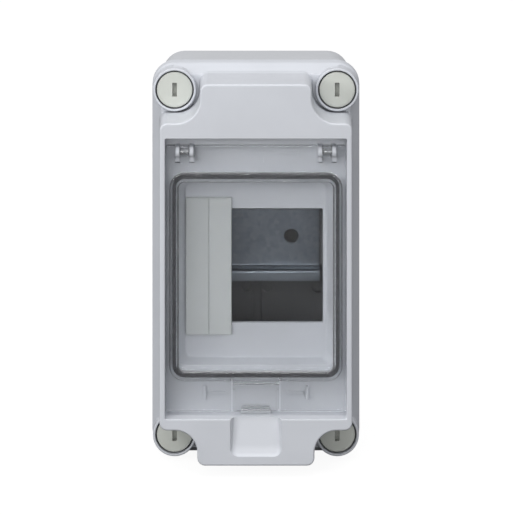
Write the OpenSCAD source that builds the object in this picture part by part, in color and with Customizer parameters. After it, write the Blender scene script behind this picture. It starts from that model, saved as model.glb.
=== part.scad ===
// DC combiner enclosure: a wall-mounted, sealed box for three DIN-rail modules.
// X is across the box, Z is up and the front looks along -Y. The origin is the
// centre of the back face, on the wall. Depths are distances in front of that wall.

/* [Box] */
// Width over the cover
cover_w = 85; // [82:0.5:90]
// Height over the cover
cover_h = 160; // [154:1:176]
// Depth from the wall to the front panel
box_depth = 85; // [82:0.5:92]
// Depth of the base, from the wall to the joint with the cover
base_depth = 49; // [46:0.5:50]
// Thickness of the moulded walls
wall = 2.5; // [2:0.1:2.8]
// Width of the raised front panel
panel_w = 76.6; // [74:0.2:77]

/* [Modules] */
// Width of one DIN module
module_w = 18; // [17.5:0.1:18]
// Height of the cut-out for the modules
cutout_h = 46; // [45:0.5:47]
// Length of the DIN rail
rail_len = 54; // [48:1:54]

/* [Door] */
// Height of the hinge line above the middle of the box
hinge_z = 48; // [47:0.25:49]
// Thickness of the clear door
door_t = 2.2; // [1.8:0.1:2.4]
// Radius of the hinge pins
pin_r = 0.9; // [0.8:0.05:1]

/* [Cover screws] */
// Radius of the round heads
head_r = 7.3; // [6.5:0.1:7.5]
// Width of the driver slot
slot_w = 1.7; // [1.2:0.1:2]
// Length of the driver slot
slot_len = 5.6; // [4:0.2:8]

/* [Wall fixings] */
// Spacing of the wall holes across the box
fixing_x = 60; // [56:1:62]
// Spacing of the wall holes up the box
fixing_z = 110; // [106:1:112]
// Radius of the wall holes
fixing_r = 2.5; // [2:0.1:2.8]

/* [Hidden] */
$fn = 48;
eps = 0.01;
modules = 3;

// Corners: the screws stand close to the centres of the cover's corner rounds.
corner_r = 9.5;
screw_x = cover_w / 2 - corner_r;
screw_z = cover_h / 2 - corner_r - 0.6;

// Base, drafted towards the wall.
back_w = cover_w - 4.6;
back_h = cover_h - 7.5;
rim_w = cover_w - 2.6;
rim_h = cover_h - 3.5;
cavity_w = back_w - 2 * wall;
cavity_h = back_h - 2 * wall;
pillar_r = 7.6;
pillar_bore_r = 4.6;
pillar_bore_d = 26;
cavity_corner = 2;

// Seal between base and cover: a tongue on the base presses a cord in the cover's groove.
joint_gap = 0.2;
tongue_h = 1.9;
tongue_in = 0.6;
tongue_out = 1.8;
groove_in = 0.3;
groove_out = 2.1;
groove_top = base_depth + 4;
seal_gap = 0.1;

// Cover, from its rear edge to the shoulder that carries the bosses and the panel.
cover_d = base_depth + joint_gap;
shoulder_d = box_depth - 24.5;
shoulder_rise = 6.5;
shoulder_run = 3.9;
skirt_draft = 0.5;
boss_r = 8.8;
boss_d = shoulder_d + 3.5;
panel_h = cover_h - 8.6;
panel_notch = 9.3;
panel_corner = 3;
panel_wall = 2.3;

// Door recess, its ledge and the tub round the module cut-out.
recess_w = panel_w - 4.4;
recess_top = 54;
recess_bottom = -57.2;
ledge_d = box_depth - 10.5;
floor_d = box_depth - 16.6;
plate_t = 2;
tub_w = 57;
tub_top = 33.8;
tub_bottom = -37;
tub_draft_x = 3;
tub_draft_z = 1.3;
tub_corner = 3;
cutout_w = modules * module_w;

// Finger scoop under the door.
scoop_w = 19.5;
scoop_bottom = -71.6;
scoop_deep_d = box_depth - 3.6;
scoop_shallow_d = box_depth - 0.6;
scoop_wall = 2;

// Door plate and the bead that carries its seal.
door_back_d = ledge_d + 3;
door_front_d = door_back_d + door_t;
door_gap = 0.4;
door_w = recess_w - 2 * door_gap;
door_top = recess_top - 3.6;
door_bottom = recess_bottom + 1.5;
ring_w = 65.2;
ring_h = 79.2;
ring_z = -1.6;
ring_r = 4.3;
bead_t = 3.8;
bead_d = door_front_d + 2.3;
channel_t = 1.7;
channel_d = door_back_d + 1.3;
seal_t = 1.3;
rib_t = 1.2;

// Door hinges: a knuckle on the door between two lugs on the cover.
hinge_x = 28.4;
hinge_d = door_front_d - 0.2;
knuckle_w = 3.6;
knuckle_r = 2;
lug_t = 1.6;
lug_r = 2.2;
lug_foot = 4;
hinge_side_gap = 0.2;
pin_clear = 0.05;
lug_x = knuckle_w / 2 + hinge_side_gap;
notch_x = lug_x + lug_t + 0.3;
notch_z = hinge_z - lug_foot - 0.5;

// Latch tongue, hung from the door below its seal.
latch_w = 18.5;
latch_t = 1.6;
latch_slot = 0.6;
latch_top = -44.7;
latch_root_gap = 0.3;
slot_end_z = -43.1;
latch_d = door_back_d + 0.3;
hook_w = 12;
hook_depth = 2.2;

// Cover screws: a quarter-turn bayonet screw with a slotted head.
head_floor_d = shoulder_d - 0.3;
head_back_d = head_floor_d + 0.2;
head_front_d = boss_d - 0.7;
head_dome = 0.35;
slot_depth = 1.6;
well_r = head_r + 0.5;
shank_r = 3.6;
shank_hole_r = 4.2;
shank_end_d = 31;
wing_len = 8.2;
wing_w = 3;
wing_t = 3;
retainer_d = cover_d + 2.1;
retainer_t = 0.8;
retainer_r = 4.6;
retainer_pocket_r = 4.8;
retainer_neck_r = 2.95;

// DIN rail, 35 by 7.5 with 1 mm walls.
rail_h = 35;
rail_channel_h = 27;
rail_deep = 7.5;
rail_t = 1;
rail_back_d = 15.9;
rail_hole_x = 15;
rail_hole_r = 3;
rail_gap = 0.1;
rail_screw_r = 2.4;
rail_screw_head_r = 4.2;
rail_boss_r = 5.6;

// Back wall of the base.
pad_t = 1.5;
pad_w = 27;
pad_h = 22;
pad_z = 33;
pad_x = 15.25;
pad_mid = 0.5;
pad_notch_r = 2.3;
fixing_boss_r = 5.2;
knockout_r = 10.2;
knockout_inner_r = 8.1;
knockout_x = 12;
knockout_d = 25;
knockout_line = 0.5;

// Blanking plate over the left-hand module.
blank_w = module_w + 0.4;
blank_h = 55.5;
blank_t = 1.2;
blank_x = -cutout_w / 2 - 1.2;
blank_gap = 0.05;
plug_w = 15.4;
plug_h = cutout_h - 0.4;
plug_wall = 1.2;
plug_back_d = floor_d - 6.4;
snap_w = 8;
snap_out = 1;

// Earth bar in the lower wiring space.
bar_len = 37;
bar_h = 7;
bar_t = 6;
bar_z = -55;
bar_back_d = 9;
bar_ways = 5;
bar_pitch = 7;
wire_hole_r = 2.1;
clamp_screw_r = 1.9;
clamp_head_r = 2.7;
clamp_head_t = 1.6;
carrier_w = 48.4;
carrier_h = 11;
carrier_t = 3;
carrier_post_w = 2.2;
carrier_screw_x = 21.6;
carrier_head_r = 2.4;

// ---------------------------------------------------------------- helpers

// Extrudes an outline in X and Z from depth d0 to depth d1 in front of the wall.
module slab(d0, d1) translate([0, -d0, 0]) rotate([90, 0, 0]) linear_extrude(d1 - d0) children();

// A round bar along the depth, centred on x and z.
module post(x, z, r, d0, d1) slab(d0, d1) translate([x, z]) circle(r);

// A round bar across the box, between x0 and x1, at depth d and height z.
module cross_bar(x0, x1, d, z, r) translate([x0, -d, z]) rotate([0, 90, 0]) cylinder(h = x1 - x0, r = r);

// A block given by its ranges in x, depth and z.
module block(x0, x1, d0, d1, z0, z1) translate([x0, -d1, z0]) cube([x1 - x0, d1 - d0, z1 - z0]);

// A rectangle with round corners.
module rounded(w, h, r) {
    square([w - 2 * r, h], center = true);
    square([w, h - 2 * r], center = true);
    for (x = [-1, 1], z = [-1, 1]) translate([x * (w / 2 - r), z * (h / 2 - r)]) circle(r);
}

// A closed band of width t, centred on a rounded rectangle.
module band(w, h, r, t) difference() {
    rounded(w + t, h + t, r + t / 2);
    rounded(w - t, h - t, r - t / 2);
}

// Places its children on the four screw axes, mirrored so that +X and +Z point outwards.
module at_corners() for (x = [0, 1], z = [0, 1])
    mirror([x, 0, 0]) mirror([0, z, 0]) translate([screw_x, screw_z]) children();

// Round bars on the four screw axes, between two depths.
module corner_posts(d0, d1, r) for (x = [-1, 1], z = [-1, 1]) post(x * screw_x, z * screw_z, r, d0, d1);

// A rectangle that steps back round the screws, with an arc of radius notch about each.
module stepped(w, h, notch, corner) {
    rounded(w, 2 * (screw_z - notch), corner);
    rounded(2 * (screw_x - notch), h, corner);
    at_corners() difference() {
        translate([-notch - eps, -notch - eps]) square(notch + eps);
        circle(notch);
    }
}

// The line of the seal between base and cover, grown outwards by g.
module seal_line(g) stepped(cavity_w + 2 * g, cavity_h + 2 * g, pillar_r - g, cavity_corner);

// A thin slab of a rounded rectangle, as one section of a hull.
module section(w, h, r, d, z = 0) slab(d, d + eps) translate([0, z]) rounded(w, h, r, $fn = 32);

// ---------------------------------------------------------------- base

module base_shell() difference() {
    hull() {
        section(back_w, back_h, corner_r, 0);
        section(rim_w, rim_h, corner_r, base_depth - eps);
    }
    slab(wall, base_depth + 1) seal_line(0);
}

// A pair of round grooves in the lower wall, where a cable entry can be knocked out.
module knockout(side) translate([side * knockout_x, -knockout_d, -back_h / 2 - 4])
    for (r = [knockout_r, knockout_inner_r]) difference() {
        cylinder(h = 4, r = r);
        translate([0, 0, -1]) cylinder(h = 8, r = r - knockout_line);
    }

// Four low pads on the back wall, with round recesses near their corners.
module wall_pads() for (x = [-1, 1], z = [-1, 1]) slab(wall - eps, wall + pad_t)
    translate([pad_mid + x * pad_x, z * pad_z]) difference() {
        square([pad_w, pad_h], center = true);
        for (i = [-1, 1], k = [-1, 1]) translate([i * (pad_w / 2 - 2.7), k * (pad_h / 2 - 2.9)])
            circle(pad_notch_r);
    }

// Blocks under both ends of the rail, with end stops, and the boss for the rail screw.
module rail_supports() {
    for (x = [0, 1]) mirror([x, 0, 0]) {
        block(20, rail_len / 2 + 2.5, wall - eps, rail_back_d - rail_gap, -11.5, 11.5);
        block(rail_len / 2 + rail_gap, rail_len / 2 + 2.5, wall - eps, rail_back_d + 4, -11.5, 11.5);
    }
    post(-rail_hole_x, 0, rail_boss_r, wall - eps, rail_back_d - rail_gap);
}

module base_box() color([0.78, 0.79, 0.80]) difference() {
    union() {
        base_shell();
        slab(base_depth - 1, base_depth + tongue_h) difference() {
            seal_line(tongue_out);
            seal_line(tongue_in);
        }
        wall_pads();
        rail_supports();
        for (x = [-1, 1], z = [-1, 1])
            post(x * fixing_x / 2, z * fixing_z / 2, fixing_boss_r, wall - eps, wall + pad_t);
        for (x = [-1, 1]) post(x * carrier_screw_x, bar_z, 3.4, wall - eps, wall + 2);
    }
    corner_posts(pillar_bore_d, base_depth + 1, pillar_bore_r);
    for (x = [-1, 1], z = [-1, 1]) post(x * fixing_x / 2, z * fixing_z / 2, fixing_r, -1, 10);
    for (x = [-1, 1]) post(x * carrier_screw_x, bar_z, 1.3, 1, 6);
    post(-rail_hole_x, 0, rail_screw_r, rail_back_d - 10, rail_back_d);
    for (x = [-1, 1]) knockout(x);
}

// ---------------------------------------------------------------- cover

module cover_body() {
    hull() {
        section(cover_w, cover_h, corner_r, cover_d);
        section(cover_w - 0.2, cover_h - 2 * skirt_draft, corner_r, shoulder_d - shoulder_rise);
        section(cover_w - 2 * shoulder_run, cover_h - 2 * shoulder_run, corner_r - shoulder_run,
                shoulder_d - eps);
    }
    corner_posts(shoulder_d - shoulder_rise - 1, boss_d, boss_r);
    slab(shoulder_d - 2, box_depth) stepped(panel_w, panel_h, panel_notch, panel_corner);
}

// The panel's outline, drawn in by the thickness of its walls.
module inner_panel() stepped(panel_w - 2 * panel_wall, panel_h - 2 * panel_wall, panel_notch + panel_wall, 1);

module cover_hollow() {
    slab(cover_d - 1, shoulder_d - wall) seal_line(-1);
    slab(cover_d - 1, ledge_d - plate_t) inner_panel();
    slab(cover_d - 1, box_depth - 2.4) intersection() {
        inner_panel();
        translate([0, recess_top + 2 + 30]) square([90, 60], center = true);
    }
    slab(cover_d - 1, box_depth - 2.4) difference() {
        inner_panel();
        translate([0, 60 + recess_bottom - 2]) square([90, 120], center = true);
        translate([0, -60]) square([scoop_w + 2 * scoop_wall, 120], center = true);
    }
}

// The tub round the cut-out, grown by g on every side.
module tub(g, d0, d1) hull() {
    translate([0, 0, (tub_top + tub_bottom) / 2]) {
        section(tub_w + 2 * g, tub_top - tub_bottom + 2 * g, tub_corner + g, d0);
        section(tub_w + 2 * (tub_draft_x + g), tub_top - tub_bottom + 2 * (tub_draft_z + g),
                tub_corner + g, d1);
    }
}

module scoop() hull() for (x = [-1, 1]) {
    block(x * (scoop_w / 2 - 0.6) - 0.5, x * (scoop_w / 2 - 0.6) + 0.5, box_depth - 1, box_depth + 1,
          scoop_bottom + 3, recess_bottom + 1);
    block(x * (scoop_w / 2 - 2.6) - 0.5, x * (scoop_w / 2 - 2.6) + 0.5, scoop_deep_d, box_depth,
          recess_bottom, recess_bottom + 1);
    post(x * (scoop_w / 2 - 3.1), scoop_bottom + 3, 3, scoop_shallow_d, box_depth + 1);
}

module hinge_lugs() for (side = [-1, 1], k = [-1, 1])
    translate([side * hinge_x + k * (lug_x + lug_t / 2) - lug_t / 2, 0, 0]) {
        block(0, lug_t, ledge_d - eps, hinge_d, hinge_z - lug_r, hinge_z + lug_r);
        block(0, lug_t, ledge_d - eps, hinge_d - 0.4, hinge_z - lug_foot, hinge_z);
        cross_bar(0, lug_t, hinge_d, hinge_z, lug_r);
    }

module cover() color([0.80, 0.82, 0.85]) difference() {
    union() {
        difference() {
            union() {
                difference() {
                    cover_body();
                    cover_hollow();
                }
                tub(plate_t, floor_d - plate_t, ledge_d - plate_t);
            }
            slab(ledge_d, box_depth + 1) translate([-recess_w / 2, recess_bottom])
                square([recess_w, recess_top - recess_bottom]);
            tub(0, floor_d, ledge_d);
            scoop();
        }
        slab(ledge_d - eps, door_back_d - 0.2) translate([0, ring_z]) band(ring_w, ring_h, ring_r, rib_t);
        hinge_lugs();
        // Catch for the latch tongue, on the recess's lower wall.
        block(-hook_w / 2, hook_w / 2, ledge_d - eps, door_back_d - 0.5,
              recess_bottom - eps, recess_bottom + 0.9);
        // Stiffening ribs on the ledge, either side of the latch.
        for (x = [-1, 1]) {
            block(x * 20.5 - 0.6, x * 20.5 + 0.6, ledge_d - eps, ledge_d + 1.2, -52, -46.6);
            block(x * 15.5 - 3.5, x * 15.5 + 3.5, ledge_d - eps, ledge_d + 1, -49.8, -48.8);
        }
    }
    // Cut-out for the modules.
    slab(floor_d - plate_t - 1, floor_d + 1) square([cutout_w, cutout_h], center = true);
    // Screw wells, shank holes and the pockets for the retaining washers.
    corner_posts(head_floor_d, boss_d + 1, well_r);
    corner_posts(cover_d - 1, head_floor_d + 1, shank_hole_r);
    corner_posts(cover_d - 1, retainer_d + retainer_t + 0.3, retainer_pocket_r);
    // Groove for the seal.
    slab(cover_d - 1, groove_top) difference() {
        seal_line(groove_out);
        seal_line(groove_in);
    }
    // Holes for the hinge pins.
    for (x = [-1, 1]) translate([x * hinge_x, 0, 0])
        cross_bar(-notch_x - 1, notch_x + 1, hinge_d, hinge_z, pin_r);
}

module base_seal() color([0.16, 0.17, 0.18]) slab(base_depth + tongue_h + seal_gap, groove_top) difference() {
    seal_line(groove_out - seal_gap);
    seal_line(groove_in + seal_gap);
}

// ---------------------------------------------------------------- door

module door() color([0.80, 0.86, 0.90, 0.35]) difference() {
    union() {
        slab(door_back_d, door_front_d) translate([-door_w / 2, door_bottom])
            square([door_w, door_top - door_bottom]);
        slab(door_back_d, bead_d) translate([0, ring_z]) band(ring_w, ring_h, ring_r, bead_t);
        for (x = [-1, 1])
            cross_bar(x * hinge_x - knuckle_w / 2, x * hinge_x + knuckle_w / 2, hinge_d, hinge_z, knuckle_r);
    }
    slab(door_back_d - 1, channel_d) translate([0, ring_z]) band(ring_w, ring_h, ring_r, channel_t);
    // Notches that let the lugs through, either side of each knuckle.
    for (x = [-1, 1], k = [-1, 1]) translate([x * hinge_x + k * (notch_x + knuckle_w / 2) / 2, 0, 0])
        block(-(notch_x - knuckle_w / 2) / 2, (notch_x - knuckle_w / 2) / 2,
              door_back_d - 2, bead_d + 1, notch_z, door_top + 2);
    for (x = [-1, 1])
        cross_bar(x * hinge_x - knuckle_w, x * hinge_x + knuckle_w, hinge_d, hinge_z, pin_r + pin_clear);
    // Opening that the latch tongue hangs in.
    block(-latch_w / 2 - latch_slot, latch_w / 2 + latch_slot, door_back_d - 1, bead_d + 1,
          door_bottom - 1, latch_top);
    for (x = [-1, 1]) translate([x * (latch_w + latch_slot) / 2, 0, 0]) {
        block(-latch_slot / 2, latch_slot / 2, door_back_d - 1, bead_d + 1, latch_top - 1, slot_end_z);
        post(0, slot_end_z, latch_slot, door_back_d - 1, bead_d + 1);
    }
}

module door_seal() color([0.15, 0.16, 0.18])
    slab(door_back_d - 0.1, channel_d - 0.05) translate([0, ring_z]) band(ring_w, ring_h, ring_r, seal_t);

module latch_tongue() color([0.80, 0.86, 0.90, 0.35]) difference() {
    union() {
        block(-latch_w / 2, latch_w / 2, latch_d, latch_d + latch_t, door_bottom, latch_top - latch_root_gap);
        // Thumb ridge along the free edge.
        cross_bar(-latch_w / 2, latch_w / 2, latch_d + latch_t, door_bottom + 1.1, 1.1);
        // Side ribs.
        for (x = [-1, 1]) translate([x * (latch_w / 2 - 0.6), 0, 0])
            block(-0.6, 0.6, latch_d, latch_d + latch_t + 0.9, door_bottom + 1, latch_top - 2);
        // Hook that snaps over the catch.
        block(-hook_w / 2 + 0.4, hook_w / 2 - 0.4, latch_d - hook_depth, latch_d + 0.5,
              door_bottom, door_bottom + 1.5);
    }
    // The pointed nose of the hook.
    translate([0, -(latch_d - hook_depth), door_bottom + 1.7]) rotate([45, 0, 0])
        cube([hook_w + 2, 1.1, 1.1], center = true);
}

module hinge_pin(side) color([0.80, 0.86, 0.90, 0.35]) translate([side * hinge_x, 0, 0])
    cross_bar(-lug_x - lug_t, lug_x + lug_t, hinge_d, hinge_z, pin_r);

// ---------------------------------------------------------------- cover screws

module cover_screw(x, z) color([0.79, 0.80, 0.77]) translate([x * screw_x, 0, z * screw_z]) difference() {
    union() {
        post(0, 0, head_r, head_back_d, head_front_d - head_dome);
        translate([0, -(head_front_d - head_dome), 0]) rotate([90, 0, 0])
            cylinder(h = head_dome, r1 = head_r, r2 = head_r - 0.9);
        post(0, 0, shank_r, retainer_d + retainer_t + 0.1, head_back_d + eps);
        post(0, 0, retainer_neck_r, retainer_d - 0.2, head_back_d);
        post(0, 0, shank_r, shank_end_d, retainer_d - 0.1);
        // Bayonet wings, upright when the screw is locked.
        slab(shank_end_d - wing_t, shank_end_d + 1) intersection() {
            square([wing_w, wing_len], center = true);
            circle(wing_len / 2);
        }
        post(0, 0, 2.4, shank_end_d - wing_t - 0.8, shank_end_d);
    }
    slab(head_front_d - slot_depth, head_front_d + 1) square([slot_w, slot_len], center = true);
}

module screw_retainers() color([0.60, 0.61, 0.62])
    for (x = [-1, 1], z = [-1, 1]) slab(retainer_d, retainer_d + retainer_t)
        translate([x * screw_x, z * screw_z]) difference() {
            circle(retainer_r);
            circle(retainer_neck_r + 0.05);
        }

// ---------------------------------------------------------------- rail and blanking plate

module din_rail() color([0.70, 0.72, 0.74]) difference() {
    union() {
        block(-rail_len / 2, rail_len / 2, rail_back_d, rail_back_d + rail_t,
              -rail_channel_h / 2, rail_channel_h / 2);
        for (z = [0, 1]) mirror([0, 0, z]) {
            block(-rail_len / 2, rail_len / 2, rail_back_d, rail_back_d + rail_deep,
                  rail_channel_h / 2 - rail_t, rail_channel_h / 2);
            block(-rail_len / 2, rail_len / 2, rail_back_d + rail_deep - rail_t, rail_back_d + rail_deep,
                  rail_channel_h / 2 - rail_t, rail_h / 2);
        }
    }
    for (x = [-1, 1]) post(x * rail_hole_x, 0, rail_hole_r, rail_back_d - 1, rail_back_d + rail_t + 1);
}

module rail_screw() color([0.72, 0.73, 0.75]) translate([-rail_hole_x, 0, 0]) difference() {
    union() {
        post(0, 0, rail_screw_r - 0.05, rail_back_d - 9.5, rail_back_d + rail_t + 0.1);
        post(0, 0, rail_screw_head_r, rail_back_d + rail_t + 0.05, rail_back_d + rail_t + 2.6);
    }
    for (a = [0, 90]) slab(rail_back_d + rail_t + 1.2, 30) rotate(a) square([1, 4.6], center = true);
}

module blanking_plate() color([0.77, 0.79, 0.78]) {
    plug_x = blank_x + blank_w / 2;
    front = floor_d + blank_gap;
    difference() {
        union() {
            block(blank_x, blank_x + blank_w, front, front + blank_t, -blank_h / 2, blank_h / 2);
            block(plug_x - plug_w / 2, plug_x + plug_w / 2, plug_back_d, front + eps,
                  -plug_h / 2, plug_h / 2);
            // Snap noses behind the upper and lower edges of the cut-out.
            for (z = [-1, 1]) translate([plug_x, 0, z * (plug_h / 2 + snap_out / 2)])
                block(-snap_w / 2, snap_w / 2, plug_back_d + 2, floor_d - plate_t - 0.2,
                      -snap_out / 2 - eps, snap_out / 2);
        }
        block(plug_x - plug_w / 2 + plug_wall, plug_x + plug_w / 2 - plug_wall, plug_back_d - 1, front - eps,
              -plug_h / 2 + plug_wall, plug_h / 2 - plug_wall);
        // Score line where the plate snaps to half a module.
        block(blank_x + blank_w / 2 - 0.1, blank_x + blank_w / 2 + 0.1, front + blank_t - 0.3,
              front + blank_t + 1, -blank_h / 2 - 1, blank_h / 2 + 1);
    }
}

// ---------------------------------------------------------------- earth bar

module terminal_carrier() color([0.30, 0.42, 0.34]) translate([0, 0, bar_z]) difference() {
    union() {
        block(-carrier_w / 2, carrier_w / 2, wall + 2.1, wall + 2 + carrier_t, -carrier_h / 2, carrier_h / 2);
        for (x = [-1, 1]) translate([x * (bar_len - carrier_post_w) / 2, 0, 0]) {
            block(-carrier_post_w / 2, carrier_post_w / 2, wall + 4, bar_back_d - 0.05,
                  -carrier_h / 2, carrier_h / 2);
            for (z = [-1, 1]) translate([0, 0, z * (bar_h / 2 + 0.95)])
                block(-carrier_post_w / 2, carrier_post_w / 2, wall + 4, bar_back_d + bar_t - 1, -0.85, 0.85);
        }
    }
    for (x = [-1, 1]) post(x * carrier_screw_x, 0, 1.8, 0, 12);
}

module carrier_screws() color([0.72, 0.73, 0.75]) for (x = [-1, 1]) translate([x * carrier_screw_x, 0, bar_z])
    difference() {
        union() {
            post(0, 0, 1.25, 1.6, wall + 2 + carrier_t + 0.2);
            post(0, 0, carrier_head_r, wall + 2 + carrier_t + 0.1, wall + 2 + carrier_t + 1.7);
        }
        for (a = [0, 90]) slab(wall + 2 + carrier_t + 0.9, 20) rotate(a) square([0.7, 3.4], center = true);
    }

module at_ways() for (i = [0 : bar_ways - 1])
    translate([(i - (bar_ways - 1) / 2) * bar_pitch, 0, bar_z]) children();

module earth_bar() color([0.80, 0.64, 0.30]) difference() {
    translate([0, 0, bar_z])
        block(-bar_len / 2, bar_len / 2, bar_back_d, bar_back_d + bar_t, -bar_h / 2, bar_h / 2);
    at_ways() {
        translate([0, -bar_back_d - 2.6, -bar_h]) cylinder(h = 2 * bar_h, r = wire_hole_r);
        post(0, 0, clamp_screw_r, bar_back_d + 2.6, bar_back_d + bar_t + 1);
    }
}

module clamp_screws() color([0.75, 0.76, 0.78]) at_ways() difference() {
    union() {
        post(0, 0, clamp_screw_r - 0.05, bar_back_d + bar_t - 2.4, bar_back_d + bar_t + 0.2);
        post(0, 0, clamp_head_r, bar_back_d + bar_t + 0.1, bar_back_d + bar_t + clamp_head_t);
    }
    slab(bar_back_d + bar_t + 0.8, 30) square([8, 0.8], center = true);
}

// ---------------------------------------------------------------- nodes

base_box();
base_seal();
cover();
door();
door_seal();
latch_tongue();
hinge_pin(-1);  // hinge_pin_left
hinge_pin(1);  // hinge_pin_right
cover_screw(-1, 1);  // cover_screw_top_left
cover_screw(1, 1);  // cover_screw_top_right
cover_screw(-1, -1);  // cover_screw_bottom_left
cover_screw(1, -1);  // cover_screw_bottom_right
screw_retainers();
din_rail();
rail_screw();
blanking_plate();
terminal_carrier();
carrier_screws();
earth_bar();
clamp_screws();
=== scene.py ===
"""Looks of a sealed, wall-mounted DC combiner enclosure for three DIN-rail modules, on its CAD frame."""

import math

import bmesh
import bpy
import numpy as np
from mathutils import Matrix, Vector


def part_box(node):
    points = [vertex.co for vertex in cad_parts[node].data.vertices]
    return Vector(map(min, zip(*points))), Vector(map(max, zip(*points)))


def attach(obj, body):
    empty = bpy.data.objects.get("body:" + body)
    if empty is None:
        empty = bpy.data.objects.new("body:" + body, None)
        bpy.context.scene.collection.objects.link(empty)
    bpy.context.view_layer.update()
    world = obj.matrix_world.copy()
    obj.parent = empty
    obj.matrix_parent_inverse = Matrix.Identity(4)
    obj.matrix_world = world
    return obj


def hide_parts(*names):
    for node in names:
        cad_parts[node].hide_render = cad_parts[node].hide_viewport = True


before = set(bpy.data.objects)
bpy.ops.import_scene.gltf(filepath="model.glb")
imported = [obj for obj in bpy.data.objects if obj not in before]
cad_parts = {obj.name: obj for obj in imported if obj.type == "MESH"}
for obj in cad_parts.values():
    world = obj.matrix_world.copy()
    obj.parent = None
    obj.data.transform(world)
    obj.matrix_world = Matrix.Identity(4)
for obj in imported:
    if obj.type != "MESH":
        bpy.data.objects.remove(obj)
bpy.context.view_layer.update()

# Sizes are in millimetres. A depth is a distance in front of the wall, along -Y.
MM = 0.001


def box_mm(node):
    """The corners of a CAD node, in millimetres."""
    low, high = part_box(node)
    return low / MM, high / MM


# Cover and base: outer sizes from the CAD, and JOINT is the depth where they meet.
COVER_LOW, COVER_HIGH = box_mm("cover")
COVER_W = COVER_HIGH.x - COVER_LOW.x
COVER_H = COVER_HIGH.z - COVER_LOW.z
FRONT = -COVER_LOW.y
JOINT = -COVER_HIGH.y
BASE_LOW, BASE_HIGH = box_mm("base_box")
RIM_W = BASE_HIGH.x - BASE_LOW.x
RIM_H = BASE_HIGH.z - BASE_LOW.z
BASE_D = JOINT - 0.2
BACK_W = RIM_W - 2.0
BACK_H = RIM_H - 4.0
WALL = 2.5
CORNER_R = 9.5

# The screws and the pillars that take them: places, and depths of the bores and of the screws' wings.
SCREW_X = COVER_W / 2 - CORNER_R
SCREW_Z = COVER_H / 2 - CORNER_R - 0.6
PILLAR_R = 7.6
BORE_D = 26.0
WING_D = 31.0
CAVITY_W = BACK_W - 2 * WALL
CAVITY_H = BACK_H - 2 * WALL

# What stands on the back wall: pads, bosses round the wall holes, posts of the carrier.
PAD_TOP = WALL + 1.5
PAD_SHIFT = 0.5
PAD_X = 15.25
PAD_Z = 33.0
FIXING_X = 30.0
FIXING_Z = 55.0
CARRIER_X = 21.6
CARRIER_Z = -55.0
KNOCKOUT_X = 12.0
KNOCKOUT_D = 25.0

# The cover's raised panel, and the depths of its shoulder, screw bosses, ledge and tub floor.
PANEL_W = COVER_W - 8.4
PANEL_H = COVER_H - 8.6
PANEL_WALL = 2.3
SHOULDER = FRONT - 24.5
BOSS_D = SHOULDER + 3.5
BOSS_ROOT = 52.0
LEDGE = FRONT - 10.5
FLOOR = FRONT - 16.6
PLATE = 2.0
RECESS_W = PANEL_W - 4.4
RECESS_TOP = 54.0
RECESS_BOTTOM = -57.2
TUB_TOP = 33.8
TUB_BOTTOM = -37.0
TUB_W = 57.0
TUB_FLOOR_R = 0.8
TUB_DRAFT_W = 6.0
TUB_DRAFT_H = 2.6
CUTOUT_W = 54.0
CUTOUT_H = 46.0
SCOOP_W = 19.5
SCOOP_BOTTOM = -71.6

# The door, the bead round its window, its hinges and the latch tongue.
DOOR_LOW, DOOR_HIGH = box_mm("door")
DOOR_BACK = LEDGE + 3.0
DOOR_FRONT = DOOR_BACK + 2.2
DOOR_W = DOOR_HIGH.x - DOOR_LOW.x
DOOR_TOP = 50.4
DOOR_BOTTOM = DOOR_LOW.z
BEAD_D = DOOR_FRONT + 2.3
BEAD_HALF = 1.9
RING_W = 65.2
RING_H = 79.2
RING_R = 4.3
RING_Z = -1.6
HINGE_X = 28.4
HINGE_Z = 48.0
HINGE_D = DOOR_FRONT - 0.2
LUG_X = 2.8
LUG_HALF = 0.8
LUG_R = 2.2
KNUCKLE_HALF = 1.8
LATCH_W = 18.5
LATCH_D = DOOR_BACK + 0.3
LATCH_TOP = -44.7
SLOT_W = 0.6
SLOT_END = -43.1

# The rail, the depth it rests at, and the blanking plate.
RAIL_LOW, RAIL_HIGH = box_mm("din_rail")
RAIL_T = 1.0
RAIL_LIP = 17.5
RAIL_HALF = 13.0
RAIL_SEAT = 15.8
RAIL_HOLE_X = 15.0
BLANK_LOW, BLANK_HIGH = box_mm("blanking_plate")

# Left and right, the four corners, and the angles of a rounded edge.
SIDES = (-1, 1)
CORNERS = [(i, k) for i in SIDES for k in SIDES]
ARC_STEPS = np.linspace(0, math.pi / 2, 5)


# ---------------------------------------------------------------- outlines

def arc(x, z, r, start, end, count=9):
    """Points of an arc, in degrees."""
    return [(x + r * math.cos(a), z + r * math.sin(a)) for a in np.radians(np.linspace(start, end, count))]


def rounded(w, h, r, x=0.0, z=0.0):
    """A rectangle with round corners."""
    r = max(r, 0.02)
    points = []
    for i, k, start in ((1, 1, 0), (-1, 1, 90), (-1, -1, 180), (1, -1, 270)):
        points += arc(x + i * (w / 2 - r), z + k * (h / 2 - r), r, start, start + 90)
    return points


def stepped_quadrant(w, h, corner, x, z, notch):
    """One quarter of a stepped outline, with its notch centred on x and z."""
    points = arc(w / 2 - corner, z - notch - corner, corner, 0, 90, 6)
    points += arc(x, z, notch, 270, 180, 14)
    return points + arc(x - notch - corner, h / 2 - corner, corner, 0, 90, 6)


def stepped(w, h, corner, upper, lower):
    """A rectangle that steps back in an arc round each screw; the arcs are given as (x, z, radius)."""
    corner = max(corner, 0.02)
    up = stepped_quadrant(w, h, corner, *upper)
    down = stepped_quadrant(w, h, corner, *lower)
    points = up + [(-x, z) for x, z in reversed(up)]
    return points + [(-x, -z) for x, z in down] + [(x, -z) for x, z in reversed(down)]


def frame_outline(w, h, r, x=0.0, z=0.0):
    """A rounded rectangle as a function of how far it is grown."""
    return lambda g: rounded(w + 2 * g, h + 2 * g, r + g, x, z)


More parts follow.
